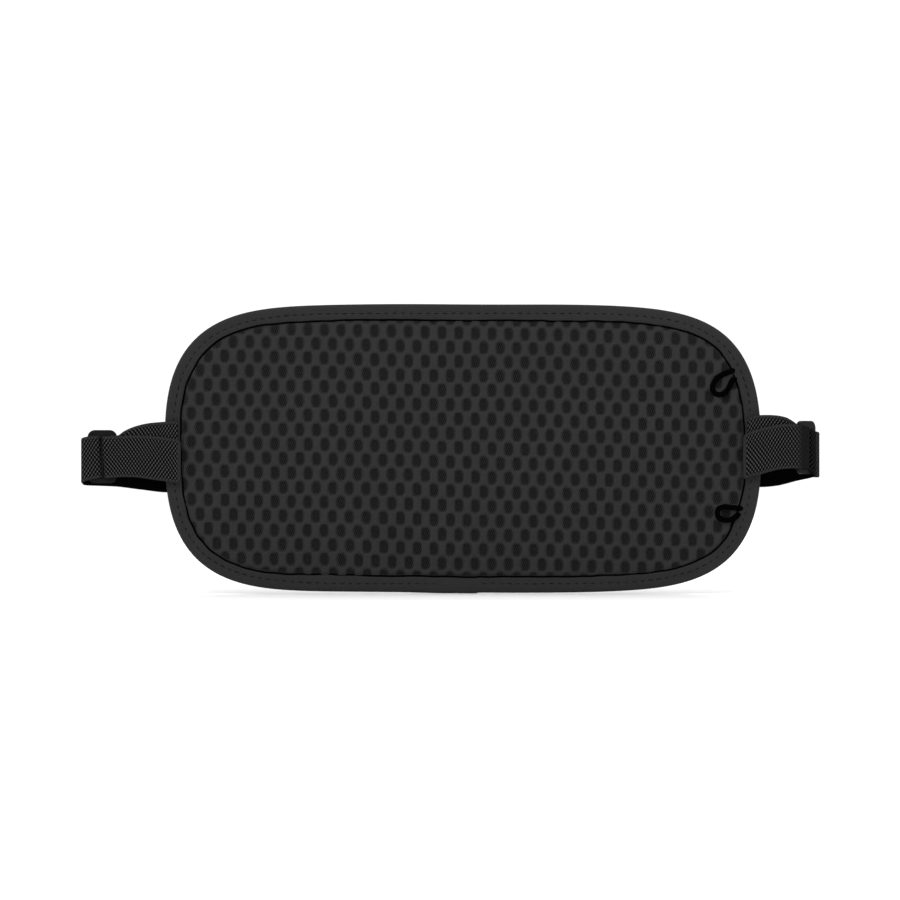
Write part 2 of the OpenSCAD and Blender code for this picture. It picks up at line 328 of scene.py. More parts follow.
def air_mesh_material(colours):
    """Knitted spacer mesh: fine wales on the ribs and an open knit inside the holes, whose darker colour is
    partly the knit's own and partly painted shade of the recess.
    """
    shader = Shader("air_mesh", roughness=0.95, specular=0.12)
    x, _, z = shader.place()
    hole = shader.add("ShaderNodeAttribute", {"attribute_name": "hole"}, output="Fac")
    wales = (x * (math.tau / 1.02)).sine()
    courses = (z * (math.tau / 0.86) + (x * (math.tau / 2.04)).sine() * 1.2).sine()
    knit = wales * 0.5 + courses * 0.5
    lean = z * 2.6
    lace = (x * (math.tau / 0.92) + lean).sine() * 0.6 + (x * (math.tau / 0.92) - lean).sine() * 0.4
    patch = shader.noise(75, 2, 0.5).smooth(0.38, 0.62)
    fuzz = shader.noise(900, 3, 0.6)
    cloud = shader.noise(38, 2, 0.5)
    rib_tone = 0.74 + knit * 0.15 + fuzz * 0.34 + cloud * 0.18
    hole_tone = 0.70 + lace * (patch * 0.7 + 0.35) + fuzz * 0.56
    rib = shader.scale_colour(tint(colours.mesh), rib_tone)
    # The holes' darker colour is partly painted shade of the recess, on top of the open knit's own tone.
    pit = shader.scale_colour(tint(colours.mesh_hole), hole_tone)
    shader.link("Base Color", shader.mix(hole, rib, pit))
    shader.bump(knit * 0.35 + fuzz * 0.6 + lace * hole * 0.8, 0.16)
    return shader.material


def binding_material(colours):
    """Ribbed binding tape: fine ribs across the tape and a slightly uneven dye."""
    shader = Shader("binding_tape", roughness=0.85, specular=0.16, sheen=0.0)
    along, across, _ = shader.weave()
    ribs = (along * (math.tau / 0.62)).sine()
    picks = (across * (math.tau / 0.8)).sine()
    fuzz = shader.noise(700, 3, 0.6)
    cloud = shader.noise(60, 3, 0.55)
    streak = shader.add("ShaderNodeCombineXYZ", {}, along * 0.03, across * 1.1, 0.0)
    drawn = shader.add("ShaderNodeTexNoise", {}, streak, Scale=1.6, Detail=2.0, Roughness=0.6)
    tone = 0.55 + ribs * picks * 0.10 + picks * 0.06 + fuzz * 0.24 + cloud * 0.26 + drawn * 0.4
    shader.link("Base Color", shader.scale_colour(tint(colours.binding), tone))
    shader.bump(ribs * 0.4 + picks * 0.5 + drawn * 1.2 + fuzz * 0.8, 0.10)
    return shader.material


def groove_shadow_material(colours):
    """A near-black strip under the binding's inner edge: painted shadow of the groove between the binding and
    the mesh.
    """
    shader = Shader("binding_groove_shadow", roughness=1.0, specular=0.0)
    fuzz = shader.noise(900, 2, 0.6)
    shader.link("Base Color", shader.scale_colour(tint(colours.binding, 0.04), 0.6 + fuzz))
    return shader.material


def webbing_material(colours):
    """Elastic webbing: raised floats in a staggered grid, between smooth selvedges."""
    shader = Shader("webbing", roughness=0.9, specular=0.02)
    along, across, plain = shader.weave()
    # The shade attribute darkens the colour below: painted shade where the strap lies in shadow inside its
    # loop and under the adjuster.
    shade = shader.add("ShaderNodeAttribute", {"attribute_name": "shade"}, output="Fac")
    drift = shader.noise(90, 2, 0.5) * 1.2
    u = along * (math.tau / 1.5) + drift
    v = across * (math.tau / 2.27)
    lean = shader.noise(55, 1, 0.5).smooth(0.36, 0.64)
    dots = (u + v).sine() * (lean * 0.26 + 0.37) + (u - v).sine() * (0.63 - lean * 0.26)
    float_mask = (dots * 0.5 + 0.5).smooth(0.36, 1.0)
    fuzz = shader.noise(1100, 2, 0.6)
    ribs = (along * (math.tau / 0.5)).sine()
    woven = shader.mix(float_mask, solid(colours.webbing_gap), solid(colours.webbing))
    edge = shader.mix(ribs * 0.2 + 0.5, solid(colours.webbing, 0.26), solid(colours.webbing, 0.42))
    colour = shader.mix(plain, woven, edge)
    shader.link("Base Color", shader.scale_colour(colour, (0.78 + fuzz * 0.44) * (1 - shade * 0.97)))
    height = dots * (1 - plain) + ribs * plain * 0.15 + fuzz * 0.3
    shader.bump(height, 0.22)
    return shader.material


def thread_material(colours):
    """Twisted sewing thread."""
    shader = Shader("thread", roughness=0.8, specular=0.1)
    x, y, z = shader.place()
    twist = ((x + z) * (math.tau / 0.35) + y * 6.0).sine()
    # The thread's colour, well below the binding's, is partly its own and partly painted shade of the pits
    # that the stitches sink into.
    base = tint(colours.binding, 0.3)
    shader.link("Base Color", shader.scale_colour(base, 0.85 + twist * 0.2))
    shader.bump(twist, 0.05)
    return shader.material


def cord_material(colours):
    """Braided elastic cord."""
    shader = Shader("elastic_cord", roughness=0.8, specular=0.01)
    x, y, z = shader.place()
    braid = ((x + z) * (math.tau / 0.8)).sine() * ((x - z) * (math.tau / 0.8) + y * 3.0).sine()
    base = tint(colours.cord)
    shader.link("Base Color", shader.scale_colour(base, 1.0 + braid * 0.6))
    shader.bump(braid, 0.12)
    return shader.material


def fabric_material(colours, name, gain, pitch, roughness=0.85):
    """Plain-woven nylon: crossing yarns with slight unevenness in the dye."""
    shader = Shader(name, roughness=roughness, specular=0.2)
    x, _, z = shader.place()
    warp = (x * (math.tau / pitch)).sine()
    weft = (z * (math.tau / pitch)).sine()
    weave = warp * weft
    fuzz = shader.noise(900, 2, 0.6)
    cloud = shader.noise(30, 3, 0.6)
    base = tint(colours.fabric, gain)
    tone = 0.72 + weave * 0.16 + fuzz * 0.26 + cloud * 0.30
    shader.link("Base Color", shader.scale_colour(base, tone))
    shader.bump(weave * 0.6 + fuzz * 0.5, 0.12)
    return shader.material


def plastic_material(colours, name, roughness, gain=1.0):
    """Moulded plastic with a fine spark-eroded grain and uneven smears in its tone and gloss."""
    shader = Shader(name, roughness=roughness, specular=0.09)
    grain = shader.noise(1500, 2, 0.5)
    smear = shader.noise(90, 3, 0.6)
    base = tint(colours.plastic, gain)
    shader.link("Base Color", shader.scale_colour(base, 0.8 + smear * 0.4))
    shader.link("Roughness", roughness - 0.08 + smear * 0.2)
    shader.bump(grain, 0.03)
    return shader.material


def enamel_material(colours):
    """Black enamel over cast metal, worn a little thin in places."""
    shader = Shader("zip_metal", roughness=0.35, specular=0.3)
    smear = shader.noise(250, 3, 0.6)
    worn = shader.noise(400, 4, 0.7).smooth(0.62, 0.72)
    paint = solid(colours.plastic, 1.2)
    metal = (0.09, 0.09, 0.09, 1.0)
    shader.link("Base Color", shader.mix(worn * 0.35, paint, metal))
    shader.link("Metallic", worn * 0.5)
    shader.link("Roughness", 0.26 + smear * 0.22)
    shader.bump(smear, 0.02)
    return shader.material


def floor_material(colours):
    shader = Shader("studio_floor", roughness=0.9, specular=0.1)
    base = tint(colours.floor)
    shader.link("Base Color", shader.scale_colour(base, 0.99 + shader.noise(3, 2, 0.5) * 0.02))
    return shader.material


MATERIALS = {}


def material(name):
    """The named finish, made the first time that it is asked for."""
    colours = bpy.context.scene.belt_colours
    makers = {
        "air_mesh": lambda: air_mesh_material(colours),
        "binding_tape": lambda: binding_material(colours),
        "binding_groove_shadow": lambda: groove_shadow_material(colours),
        "webbing": lambda: webbing_material(colours),
        "thread": lambda: thread_material(colours),
        "elastic_cord": lambda: cord_material(colours),
        "face_fabric": lambda: fabric_material(colours, "face_fabric", 1.0, 0.85),
        "lining": lambda: fabric_material(colours, "lining", 0.7, 0.5, 0.6),
        "zip_tape": lambda: fabric_material(colours, "zip_tape", 0.65, 1.1),
        "moulded_plastic": lambda: plastic_material(colours, "moulded_plastic", 0.5),
        "zip_coil": lambda: plastic_material(colours, "zip_coil", 0.42, 1.1),
        "zip_metal": lambda: enamel_material(colours),
        "studio_floor": lambda: floor_material(colours),
    }
    if name not in MATERIALS:
        MATERIALS[name] = makers[name]()
    return MATERIALS[name]


# ---- mesh building, in millimetres


def add_mesh(name, points, faces, finish, smooth=True, **attributes):
    """A mesh object in the frame from points in millimetres, with float or vector point attributes."""
    mesh = bpy.data.meshes.new(name)
    points = np.asarray(points, float)
    mesh.from_pydata((points * MM).tolist(), [], [list(map(int, f)) for f in faces])
    for key, values in attributes.items():
        values = np.asarray(values, np.float32)
        kind, field = ("FLOAT", "value") if values.ndim == 1 else ("FLOAT_VECTOR", "vector")
        mesh.attributes.new(key, kind, "POINT").data.foreach_set(field, values.ravel())
    if smooth:
        mesh.polygons.foreach_set("use_smooth", np.ones(len(mesh.polygons), bool))
    mesh.materials.append(material(finish))
    obj = bpy.data.objects.new(name, mesh)
    bpy.context.scene.collection.objects.link(obj)
    mesh.validate()
    mesh.update()
    return obj


def finish_piece(obj, body, slot, *replaced):
    """Ties a finished piece to its CAD body and hides the CAD nodes that it stands for. The slot argument is
    not used.
    """
    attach(obj, body)
    if replaced:
        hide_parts(*replaced)
    return obj


def grid_faces(rows, columns, wrap_rows=False, wrap_columns=False, start=0):
    """Quads over a grid of points stored row by row."""
    r = np.arange(rows if wrap_rows else rows - 1)
    c = np.arange(columns if wrap_columns else columns - 1)
    r, c = (a.ravel() for a in np.meshgrid(r, c, indexing="ij"))
    r2, c2 = (r + 1) % rows, (c + 1) % columns
    return np.stack([r * columns + c, r * columns + c2, r2 * columns + c2, r2 * columns + c], 1) + start


def flow(points, step):
    """A smooth curve through the points, with a point about every step."""
    p = np.asarray(points, float)
    out = []
    for i in range(len(p) - 1):
        a, b, c, d = p[max(i - 1, 0)], p[i], p[i + 1], p[min(i + 2, len(p) - 1)]
        n = max(1, round(np.linalg.norm((c - b)[:3]) / step))
        for k in range(n):
            u = k / n
            bend = (2 * a - 5 * b + 4 * c - d) * u**2 + (3 * b - a - 3 * c + d) * u**3
            out.append(0.5 * (2 * b + (c - a) * u + bend))
    out.append(p[-1])
    return np.array(out)


def smoothstep(x, low, high):
    t = np.clip((x - low) / (high - low), 0, 1)
    return t * t * (3 - 2 * t)


def wobble(x, z, seed):
    """A slow, repeatable unevenness between about -1 and 1."""
    rng = random.Random(seed)
    total = np.zeros_like(np.asarray(x, float))
    for _ in range(6):
        kx, kz, phase = rng.uniform(-0.09, 0.09), rng.uniform(-0.09, 0.09), rng.uniform(0, math.tau)
        total = total + np.sin(kx * x + kz * z + phase)
    return total / 3


class Outline:
    """The pouch's outline, as evenly spaced points with their inward normals."""

    def __init__(self, spacing):
        pouch = bpy.context.scene.belt_pouch
        angle = np.linspace(0, math.tau, 4001)[:-1]
        x = HALF_W * np.sign(np.cos(angle)) * np.abs(np.cos(angle)) ** (2 / pouch.side_power)
        z = HALF_H * np.sign(np.sin(angle)) * np.abs(np.sin(angle)) ** (2 / pouch.top_power)
        closed = np.stack([np.append(x, x[0]), np.append(z, z[0])], 1)
        run = np.insert(np.cumsum(np.linalg.norm(np.diff(closed, axis=0), axis=1)), 0, 0)
        self.length = run[-1]
        self.count = round(self.length / spacing)
        self.run = np.arange(self.count) * self.length / self.count
        self.points = np.stack([np.interp(self.run, run, closed[:, k]) for k in (0, 1)], 1)
        tangent = np.roll(self.points, -1, 0) - np.roll(self.points, 1, 0)
        for _ in range(8):
            tangent = (np.roll(tangent, -1, 0) + tangent + np.roll(tangent, 1, 0)) / 3
        tangent /= np.linalg.norm(tangent, axis=1)[:, None]
        self.tangent = tangent
        self.normal = np.stack([-tangent[:, 1], tangent[:, 0]], 1)

    def depth(self, x, z):
        """How far points lie inside the outline."""
        return self.nearest(x, z)[0]

    def nearest(self, x, z):
        """How far points lie inside the outline, and the nearest outline station of each."""
        x, z = np.asarray(x, float), np.asarray(z, float)
        flat = np.stack([x.ravel(), z.ravel()], 1)
        nearest = np.empty(len(flat))
        signed = np.empty(len(flat))
        station = np.empty(len(flat), int)
        for i in range(0, len(flat), 4000):
            part = flat[i : i + 4000]
            d = ((part[:, None, :] - self.points[None]) ** 2).sum(2)
            k = d.argmin(1)
            nearest[i : i + 4000] = np.sqrt(d[np.arange(len(part)), k])
            station[i : i + 4000] = k
            signed[i : i + 4000] = ((part - self.points[k]) * self.normal[k]).sum(1)
        return (np.sign(signed) * nearest).reshape(x.shape), station.reshape(x.shape)


# ---- the pouch's filling, by cloth simulation


class Billow:
    """How far each face of the pouch swells, from a pillow of cloth pinned at its rim and zips."""

    step = 4.0
    frames = 20

    def __init__(self, outline):
        self.x = np.arange(-HALF_W - 2, HALF_W + 2 + self.step, self.step)
        self.z = np.arange(-HALF_H - 2, HALF_H + 2 + self.step, self.step)
        gx, gz = np.meshgrid(self.x, self.z)
        self.inside = outline.depth(gx, gz)
        self.back = self.swell(gx, gz, zips=False)
        self.front = self.swell(gx, gz, zips=True)

    def swell(self, gx, gz, zips):
        held = self.inside < 7
        if zips:
            for z in (MAIN_ZIP_Z, FRONT_ZIP_Z):
                held |= (np.abs(gz - z) < 6) & (np.abs(gx) < ZIP_HALF + 8)
        crown = smoothstep(self.inside, 7, 40)
        rows, columns = gx.shape
        points = np.stack([gx.ravel(), 0 * gx.ravel(), gz.ravel()], 1)
        obj = add_mesh("pouch_filling", points, grid_faces(rows, columns), "lining")
        pins = obj.vertex_groups.new(name="pins")
        pins.add([int(i) for i in np.flatnonzero(held.ravel())], 1.0, "REPLACE")
        cloth = obj.modifiers.new("cloth", "CLOTH")
        cloth.settings.vertex_group_mass = "pins"
        cloth.settings.use_pressure = True
        cloth.settings.uniform_pressure_force = -0.6
        cloth.settings.shrink_min = -0.012
        cloth.settings.quality = 6
        cloth.settings.effector_weights.gravity = 0
        cloth.settings.bending_stiffness = 0.8
        cloth.point_cache.frame_end = self.frames
        for number in range(1, self.frames + 1):
            bpy.context.scene.frame_set(number)
        evaluated = obj.evaluated_get(bpy.context.evaluated_depsgraph_get())
        moved = np.array([v.co.y for v in evaluated.data.vertices]).reshape(rows, columns) / MM
        bpy.context.scene.frame_set(1)
        bpy.data.objects.remove(obj)
        swollen = np.abs(moved)
        peak = max(swollen.max(), 1e-6)
        return np.where(held, 0.0, swollen / peak * 1.5)

    def at(self, field, x, z):
        """The swelling at any points, read smoothly from the coarse grid."""
        fx = np.clip((np.asarray(x) - self.x[0]) / self.step, 0, len(self.x) - 1.001)
        fz = np.clip((np.asarray(z) - self.z[0]) / self.step, 0, len(self.z) - 1.001)
        i, j = fx.astype(int), fz.astype(int)
        u, v = smoothstep(fx - i, 0, 1), smoothstep(fz - j, 0, 1)
        low = field[j, i] * (1 - u) + field[j, i + 1] * u
        high = field[j + 1, i] * (1 - u) + field[j + 1, i + 1] * u
        return low * (1 - v) + high * v


SHAPES = {}


def pouch_outline():
    if "outline" not in SHAPES:
        SHAPES["outline"] = Outline(0.95)
        SHAPES["billow"] = Billow(SHAPES["outline"])
    return SHAPES["outline"]


def billow():
    pouch_outline()
    return SHAPES["billow"]


def mesh_face_y(x, z, depth):
    """The mesh side's face: tucked under the binding, full and slightly crowned in the middle."""
    edge = 2.3 - 1.3 * smoothstep(depth, 6.6, 8.6) - 1.0 * smoothstep(depth, 8, 20)
    return edge - 0.4 * billow().at(billow().back, x, z) + 0.12 * wobble(x, z, 5)


def closed_panel(name, x, z, face, back, keep, finish, **attributes):
    """A closed slab over the grid cells that keep marks, with a shaped face and back."""
    rows, columns = x.shape
    cells = keep[:-1, :-1] & keep[1:, :-1] & keep[:-1, 1:] & keep[1:, 1:]
    quads = grid_faces(rows, columns).reshape(rows - 1, columns - 1, 4)[cells]
    count = rows * columns
    front_points = np.stack([x.ravel(), face.ravel(), z.ravel()], 1)
    back_points = np.stack([x.ravel(), back.ravel(), z.ravel()], 1)
    edges = np.concatenate([quads[:, [k, (k + 1) % 4]] for k in range(4)])
    key = np.sort(edges, 1)
    _, index, times = np.unique(key, axis=0, return_index=True, return_counts=True)
    rim = edges[index[times == 1]]
    walls = np.stack([rim[:, 1], rim[:, 0], rim[:, 0] + count, rim[:, 1] + count], 1)
    faces = np.concatenate([quads, quads[:, ::-1] + count, walls])
    used = np.unique(faces)
    renumber = np.full(2 * count, -1)
    renumber[used] = np.arange(len(used))
    points = np.concatenate([front_points, back_points])[used]
    values = {k: np.concatenate([v.ravel(), v.ravel()])[used] for k, v in attributes.items()}
    return add_mesh(name, points, renumber[faces], finish, **values)


# ---- pieces of the pouch


class BELT_OT_air_mesh(bpy.types.Operator):
    """Builds the air-mesh panel that rests on the wearer, with its staggered open holes"""

    bl_idname = "belt.air_mesh"
    bl_label = "Air mesh panel"

    def execute(self, context):
        pouch = context.scene.belt_pouch
        outline = pouch_outline()
        pitch_x, pitch_z = pouch.hole_pitch_x, pouch.hole_pitch_z
        origin_x, origin_z, tilt = 5.63, 12.97, 0.025
        x = np.arange(-HALF_W, HALF_W, pitch_x / 10)
        z = np.arange(-HALF_H, HALF_H, pitch_z / 8)
        x, z = np.meshgrid(x, z)
        depth = outline.depth(x, z)
        drift_x = x + 0.25 * wobble(x, z, 11)
        drift_z = z + tilt * (x - origin_x) + 0.3 * wobble(x, z, 12)
        row = np.round((drift_z - origin_z) / pitch_z)
        local_z = drift_z - origin_z - row * pitch_z
        shifted = drift_x - origin_x - (row % 2) * pitch_x / 2
        local_x = shifted - np.round(shifted / pitch_x) * pitch_x
        shape = np.abs(local_x / (pouch.hole_width / 2)) ** 3 + np.abs(local_z / (pouch.hole_height / 2)) ** 3
        hole = 1 - smoothstep(shape, 0.55, 1.5)
        hole = hole * smoothstep(depth, 6.4, 8.4)
        rib = 0.14 * np.cos(local_x / pitch_x * math.tau) * (1 - hole)
        face = mesh_face_y(x, z, depth) + pouch.hole_depth * hole + rib
        back = np.full_like(face, MESH_HIGH[1] - 0.1)
        obj = closed_panel("air_mesh_back", x, z, face, back, depth > 4.2, "air_mesh", hole=hole)
        finish_piece(obj, POUCH, "air_mesh", "back_mesh_panel")
        return {"FINISHED"}


def binding_profile(width):
    """The tape's section, from its front inner edge round the pouch's edge to its back inner edge.

    Each point is a distance in from the outline and a depth. The inner wall closes the loop."""
    front, back = BINDING_LOW[1], BINDING_HIGH[1]
    outer = [
        (width, front + 0.55), (width + 0.02, front + 0.25), (width - 0.35, front + 0.02),
        (width - 1.4, front - 0.06), (width - 2.6, front + 0.1), (width - 3.8, front - 0.04),
        (width - 5.0, front + 0.12),
        (0.9, front + 0.55), (0.3, front + 1.1), (0.0, front + 2.0), (0.0, back - 2.0), (0.3, back - 1.0),
        (0.9, back - 0.5), (width - 5.0, back - 0.12), (width - 3.8, back + 0.04), (width - 2.6, back - 0.1),
        (width - 1.4, back + 0.06), (width - 0.35, back - 0.02), (width + 0.02, back - 0.25),
        (width, back - 0.55),
    ]
    inner = [(1.4, back - 1.3), (1.4, front + 1.3)]
    return outer + inner


class BELT_OT_edge_binding(bpy.types.Operator):
    """Builds the binding tape folded round the pouch's edge, its lapped end and its stitches"""

    bl_idname = "belt.edge_binding"
    bl_label = "Edge binding"

    seam_inset = 3.0

    def sweep(self, outline, profile, grow):
        """Sweeps the section along the outline; grow gives how far each station stands proud."""
        pouch = bpy.context.scene.belt_pouch
        count, width = outline.count, pouch.binding_width
        px, pz = outline.points[:, 0], outline.points[:, 1]
        wave = 0.3 * wobble(px * 0.9, pz * 0.9, 24)
        uneven = 0.30 * wobble(px * 2.2, pz * 2.2, 21) + 0.14 * wobble(px * 6, pz * 6, 22)
        phase = outline.run / pouch.stitch_pitch * math.tau
        pucker = 0.16 * (0.5 - 0.5 * np.cos(phase))
        points, weave = [], []
        middle = (BINDING_LOW[1] + BINDING_HIGH[1]) / 2
        across = 0.0
        previous = profile[0]
        for inset, y in profile:
            across += math.dist((inset, y), previous)
            previous = (inset, y)
            share = smoothstep(np.array(inset), 2.0, width)
            near_seam = math.exp(-(((inset - (width - self.seam_inset)) / 0.9) ** 2))
            lift = 0.14 * wobble(px * 1.7 + 40, pz * 1.7, 23) * share - pucker * near_seam + grow * 0.3
            side = -1 if y < middle else 1
            deep = y + side * lift
            off = inset + uneven * share - grow * 0.35 + wave - 0.5 * (1 - share)
            place = outline.points + outline.normal * np.asarray(off)[:, None]
            points.append(np.stack([place[:, 0], deep * np.ones(count), place[:, 1]], 1))
            weave.append(np.stack([outline.run, np.full(count, across), np.zeros(count)], 1))
        return np.stack(points, 1), np.stack(weave, 1)

    def execute(self, context):
        pouch = context.scene.belt_pouch
        outline = pouch_outline()
        width = pouch.binding_width
        lap = self.lap(outline)
        face, back = BINDING_LOW[1], BINDING_HIGH[1]
        # Thin near-black strips just inside the binding's inner edge, front and back: painted shadow of the
        # groove between the binding and the mesh.
        groove_shadow = [
            (width + 0.75, face + 0.75), (width + 0.75, face + 0.95),
            (width - 0.9, face + 0.75), (width - 0.9, face + 0.5),
        ]
        self.band("binding", outline, binding_profile(width), lap, "binding_tape", "edge_binding")
        self.band("binding_groove_shadow_front", outline, groove_shadow, lap, "binding_groove_shadow")
        groove_shadow = [(d, face + back - y) for d, y in reversed(groove_shadow)]
        self.band("binding_groove_shadow_back", outline, groove_shadow, lap, "binding_groove_shadow")
        self.stitches(outline)
        return {"FINISHED"}

    def band(self, name, outline, profile, lap, finish, *replaced):
        points, weave = self.sweep(outline, profile, lap)
        rows, columns = points.shape[:2]
        faces = grid_faces(rows, columns, True, True)[:, ::-1]
        obj = add_mesh(name, points.reshape(-1, 3), faces, finish, weave=weave.reshape(-1, 3))
        return finish_piece(obj, POUCH, "binding_tape", *replaced)

    def lap(self, outline):
        """1 where the tape's finishing end lies over its starting end, at the bottom."""
        x, z = outline.points[:, 0], outline.points[:, 1]
        over = smoothstep(x, -30, -8) * (1 - smoothstep(x, 6.4, 7.4)) + 0.0
        return over * (z < 0)

    def stitches(self, outline):
        pouch = bpy.context.scene.belt_pouch
        count = round(outline.length / pouch.stitch_pitch)
        inset = pouch.binding_width - self.seam_inset
        station = (np.arange(count) * outline.count / count).astype(int)
        line = outline.points[station] + outline.normal[station] * inset
        rows = [(line, outline.tangent[station], BINDING_LOW[1] + 0.02, -1)]
        rows += [(line, outline.tangent[station], BINDING_HIGH[1] - 0.02, 1)]
        finish_piece(stitch_rows("binding_stitches", rows), POUCH, "binding_tape")


def stitch_rows(name, rows):
    """Lock stitches along rows of places in X and Z.

    Each row also has its directions, its depth and the side that it shows on."""
    rng = random.Random(31)
    length, radius, around, along = bpy.context.scene.belt_pouch.stitch_pitch * 0.74, 0.2, 6, 6
    angle = np.linspace(0, math.tau, around, endpoint=False)
    t = np.linspace(-1, 1, along)
    swell = np.sqrt(np.clip(1 - np.abs(t) ** 3, 0, 1)) + 0.12
    points, faces = [], []
    for places, directions, depth, side in rows:
        for place, direction in zip(places, directions):
            normal = np.array([-direction[1], direction[0]])
            reach = length * rng.uniform(0.6, 1.15) / 2
            lean = direction + normal * rng.uniform(-0.12, 0.12)
            sag = side * (0.24 * t**2 + rng.uniform(-0.02, 0.13))
            centre = place + normal * rng.uniform(-0.1, 0.1) + lean * (t * reach)[:, None]
            thick = (radius * swell)[:, None]
            ring = np.empty((along, around, 3))
            ring[:, :, 0] = centre[:, :1] + normal[0] * np.cos(angle) * thick
            ring[:, :, 1] = depth - sag[:, None] + 0.8 * np.sin(angle) * thick
            ring[:, :, 2] = centre[:, 1:] + normal[1] * np.cos(angle) * thick
            start = len(points) * around * along
            points.append(ring.reshape(-1, 3))
            faces.extend(grid_faces(along, around, False, True, start).tolist())
            faces.append([start + i for i in range(around)][::-1])
            faces.append([start + (along - 1) * around + i for i in range(around)])
    return add_mesh(name, np.concatenate(points), faces, "thread")


class BELT_OT_front_panels(bpy.types.Operator):
    """Builds the three panels of the zip side, billowed and folded under along the zips"""

    bl_idname = "belt.front_panels"
    bl_label = "Front panels"

    zip_gap = 5.5

    def execute(self, context):
        edges = [
            ("front_fabric_top", MAIN_ZIP_Z + self.zip_gap, HALF_H + 1, "front_panel_top"),
            (
                "front_fabric_middle", FRONT_ZIP_Z + self.zip_gap, MAIN_ZIP_Z - self.zip_gap,
                "front_panel_middle",
            ),
            ("front_fabric_lower", -HALF_H - 1, FRONT_ZIP_Z - self.zip_gap, "front_panel_lower"),
        ]
        outline = pouch_outline()
        for name, low, high, node in edges:
            rows = round((high - low) / 0.9)
            x, z = np.meshgrid(np.arange(-HALF_W, HALF_W, 0.9), np.linspace(low, high, rows))
            depth = outline.depth(x, z)
            rise = self.rise(x, z, low, high)
            swell = 0.55 * billow().at(billow().front, x, z)
            face = PANEL_HIGH[1] - 0.5 + rise + swell + 0.1 * wobble(x, z, 41)
            face = face - 0.9 * (1 - smoothstep(depth, 5, 12))
            back = face - 0.45
            obj = closed_panel(name, x, z, back, face, depth > 4.5, "face_fabric")
            finish_piece(obj, POUCH, "face_fabric", node)
        self.topstitching(context.scene.belt_pouch.stitch_pitch)
        return {"FINISHED"}

    def topstitching(self, pitch):
        """A row of stitches on the hem at either side of each zip."""
        rows = []
        for middle in (MAIN_ZIP_Z, FRONT_ZIP_Z):
            for side in (-1, 1):
                x = np.arange(-ZIP_HALF - 4, ZIP_HALF + 4, pitch)
                z = middle + side * (self.zip_gap + 2.2)
                swell = 0.55 * float(billow().at(billow().front, x, 0 * x + z).mean())
                places = np.stack([x, 0 * x + z], 1)
                rows.append((places, np.tile([1.0, 0.0], (len(x), 1)), PANEL_HIGH[1] - 0.1 + swell, 1))
        finish_piece(stitch_rows("zip_topstitching", rows), POUCH, "face_fabric")

    def rise(self, x, z, low, high):
        """The doubled hem along each zip, with its stitch line pressed in."""
        total = np.zeros_like(x)
        for edge in (low, high):
            if abs(edge) < HALF_H:
                d = np.abs(z - edge)
                total += 0.35 * (1 - smoothstep(d, 4.2, 5.2)) - 0.22 * np.exp(-(((d - 2.2) / 0.5) ** 2))
                total -= 0.25 * (1 - smoothstep(d, 0.0, 0.9))
                total += 0.07 * np.sin(x * 0.83 + 2.1 * wobble(x, 0 * x, 43)) * np.exp(-d / 5)
        return total


# ---- zips


def bevelled(obj, width, segments=2, angle=35):
    """Applies a bevel to a finished mesh, so no modifier is left on it."""
    bevel = obj.modifiers.new("bevel", "BEVEL")
    bevel.width = width * MM
    bevel.segments = segments
    bevel.limit_method = "ANGLE"
    bevel.angle_limit = math.radians(angle)
    obj.modifiers.new("normals", "WEIGHTED_NORMAL")
    obj.data.polygons.foreach_set("use_smooth", np.ones(len(obj.data.polygons), bool))
    evaluated = obj.evaluated_get(bpy.context.evaluated_depsgraph_get())
    mesh = bpy.data.meshes.new_from_object(evaluated)
    obj.modifiers.clear()
    old = obj.data
    obj.data = mesh
    bpy.data.meshes.remove(old)
    return obj


def copy_of(node, name, finish, bevel, body, slot, move=None):
    """A rounded-edge copy of a CAD node's shape, which then stands for that node."""
    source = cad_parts[node]
    mesh = source.data.copy()
    mesh.materials.clear()
    mesh.materials.append(material(finish))
    obj = bpy.data.objects.new(name, mesh)
    bpy.context.scene.collection.objects.link(obj)
    weld = obj.modifiers.new("weld", "WELD")
    weld.merge_threshold = 0.00001
    flat = obj.modifiers.new("flat", "DECIMATE")
    flat.decimate_type = "DISSOLVE"
    flat.angle_limit = math.radians(2)
    if move is not None:
        obj.data.transform(move)
    bevelled(obj, bevel)
    return finish_piece(obj, body, slot, node)


